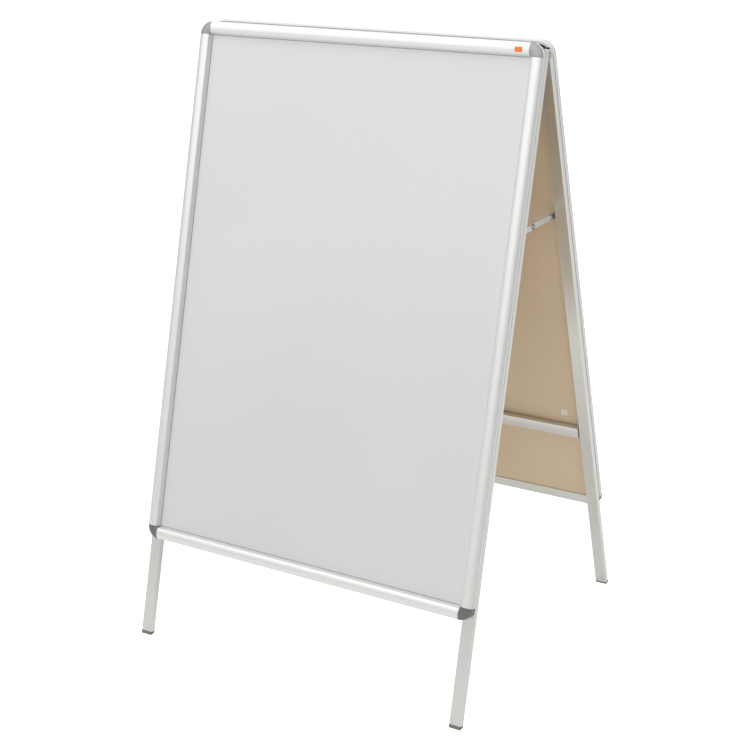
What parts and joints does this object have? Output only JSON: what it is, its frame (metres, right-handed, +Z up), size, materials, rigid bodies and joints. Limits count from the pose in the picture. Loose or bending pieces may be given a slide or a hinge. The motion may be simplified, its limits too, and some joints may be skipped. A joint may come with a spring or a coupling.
{
  "type": "sandwich board",
  "caption": "Folding A-frame sandwich board: leaning snap-frame poster panels in satin aluminium on legs, joined by a top hinge and side stays.",
  "frame": {"origin": "on the floor under the middle of the open board", "axes": "+Z up, +X to the right along the hinge axis, the front poster faces -Y"},
  "size_m": [0.624, 0.5616, 1.0092],
  "materials": {
    "anodised_frame": "satin silver anodised extrusion",
    "anodised_leg": "satin silver anodised tube",
    "corner_cap": "silver-grey moulded plastic",
    "foot_cap": "black moulded plastic",
    "backing_board": "brown hardboard",
    "poster": "plain white paper",
    "clear_sheet": "anti-glare plastic sheet",
    "plated_steel": "zinc plated",
    "spring_steel": "plain spring steel"
  },
  "bodies": {
    "front_panel": {"front_base_top": "anodised_frame", "front_base_bottom": "anodised_frame", "front_base_left": "anodised_frame", "front_base_right": "anodised_frame", "front_corner_top_left": "corner_cap", "front_corner_top_right": "corner_cap", "front_corner_bottom_left": "corner_cap", "front_corner_bottom_right": "corner_cap", "front_backing_board": "backing_board", "front_poster": "poster", "front_clear_sheet": "clear_sheet", "front_cross_bar": "anodised_leg", "front_cross_bar_plugs": "foot_cap", "front_cover_springs": "spring_steel", "front_leg_rivets": "plated_steel", "front_stay_pivots": "plated_steel", "front_leg_left": "anodised_leg", "front_leg_right": "anodised_leg", "front_foot_left": "foot_cap", "front_foot_right": "foot_cap", "front_hinge_insert_left": "corner_cap", "front_hinge_insert_right": "corner_cap", "hinge_pin_left": "plated_steel", "hinge_pin_right": "plated_steel"},
    "rear_panel": {"rear_base_top": "anodised_frame", "rear_base_bottom": "anodised_frame", "rear_base_left": "anodised_frame", "rear_base_right": "anodised_frame", "rear_corner_top_left": "corner_cap", "rear_corner_top_right": "corner_cap", "rear_corner_bottom_left": "corner_cap", "rear_corner_bottom_right": "corner_cap", "rear_backing_board": "backing_board", "rear_poster": "poster", "rear_clear_sheet": "clear_sheet", "rear_cross_bar": "anodised_leg", "rear_cross_bar_plugs": "foot_cap", "rear_cover_springs": "spring_steel", "rear_leg_rivets": "plated_steel", "rear_stay_pivots": "plated_steel", "rear_leg_left": "anodised_leg", "rear_leg_right": "anodised_leg", "rear_foot_left": "foot_cap", "rear_foot_right": "foot_cap", "rear_hinge_insert_left": "corner_cap", "rear_hinge_insert_right": "corner_cap"},
    "front_cover_top": {"front_cover_top": "anodised_frame"},
    "front_cover_bottom": {"front_cover_bottom": "anodised_frame"},
    "front_cover_left": {"front_cover_left": "anodised_frame"},
    "front_cover_right": {"front_cover_right": "anodised_frame"},
    "rear_cover_top": {"rear_cover_top": "anodised_frame"},
    "rear_cover_bottom": {"rear_cover_bottom": "anodised_frame"},
    "rear_cover_left": {"rear_cover_left": "anodised_frame"},
    "rear_cover_right": {"rear_cover_right": "anodised_frame"},
    "front_stay_left": {"front_stay_left": "plated_steel", "knee_rivet_left": "plated_steel"},
    "rear_stay_left": {"rear_stay_left": "plated_steel"},
    "front_stay_right": {"front_stay_right": "plated_steel", "knee_rivet_right": "plated_steel"},
    "rear_stay_right": {"rear_stay_right": "plated_steel"}
  },
  "joints": [
    {"name": "panel_fold", "type": "hinge", "parent": "front_panel", "child": "rear_panel", "pos_m": [0, 0, 0.9892], "axis": [1, 0, 0], "range_deg": [-30.46, 0]},
    {"name": "front_cover_top_hinge", "type": "hinge", "parent": "front_panel", "child": "front_cover_top", "pos_m": [0, -0.01771, 1.00677], "axis": [-1, 0, 0], "range_deg": [0, 90]},
    {"name": "front_cover_bottom_hinge", "type": "hinge", "parent": "front_panel", "child": "front_cover_bottom", "pos_m": [0, -0.24525, 0.17099], "axis": [1, 0, 0], "range_deg": [0, 90]},
    {"name": "front_cover_left_hinge", "type": "hinge", "parent": "front_panel", "child": "front_cover_left", "pos_m": [-0.3096, -0.13148, 0.58888], "axis": [0, -0.2627, -0.9649], "range_deg": [0, 90]},
    {"name": "front_cover_right_hinge", "type": "hinge", "parent": "front_panel", "child": "front_cover_right", "pos_m": [0.3096, -0.13148, 0.58888], "axis": [0, 0.2627, 0.9649], "range_deg": [0, 90]},
    {"name": "rear_cover_top_hinge", "type": "hinge", "parent": "rear_panel", "child": "rear_cover_top", "pos_m": [0, 0.01771, 1.00677], "axis": [1, 0, 0], "range_deg": [0, 90]},
    {"name": "rear_cover_bottom_hinge", "type": "hinge", "parent": "rear_panel", "child": "rear_cover_bottom", "pos_m": [0, 0.24525, 0.17099], "axis": [-1, 0, 0], "range_deg": [0, 90]},
    {"name": "rear_cover_left_hinge", "type": "hinge", "parent": "rear_panel", "child": "rear_cover_left", "pos_m": [-0.3096, 0.13148, 0.58888], "axis": [0, -0.2627, 0.9649], "range_deg": [0, 90]},
    {"name": "rear_cover_right_hinge", "type": "hinge", "parent": "rear_panel", "child": "rear_cover_right", "pos_m": [0.3096, 0.13148, 0.58888], "axis": [0, 0.2627, -0.9649], "range_deg": [0, 90]},
    {"name": "front_stay_left_pivot", "type": "hinge", "parent": "front_panel", "child": "front_stay_left", "pos_m": [-0.2895, -0.07788, 0.72591], "axis": [1, 0, 0], "range_deg": [0, 70.37]},
    {"name": "rear_stay_left_pivot", "type": "hinge", "parent": "rear_panel", "child": "rear_stay_left", "pos_m": [-0.2895, 0.07788, 0.72591], "axis": [1, 0, 0], "range_deg": [-70.37, 0]},
    {"name": "front_stay_right_pivot", "type": "hinge", "parent": "front_panel", "child": "front_stay_right", "pos_m": [0.2895, -0.07788, 0.72591], "axis": [1, 0, 0], "range_deg": [0, 70.37]},
    {"name": "rear_stay_right_pivot", "type": "hinge", "parent": "rear_panel", "child": "rear_stay_right", "pos_m": [0.2895, 0.07788, 0.72591], "axis": [1, 0, 0], "range_deg": [-70.37, 0]}
  ],
  "couplings": [
    {"joint": "front_stay_left_pivot", "follows": "panel_fold", "ratio": -2.3101},
    {"joint": "rear_stay_left_pivot", "follows": "panel_fold", "ratio": 2.3101},
    {"joint": "front_stay_right_pivot", "follows": "panel_fold", "ratio": -2.3101},
    {"joint": "rear_stay_right_pivot", "follows": "panel_fold", "ratio": 2.3101}
  ]
}
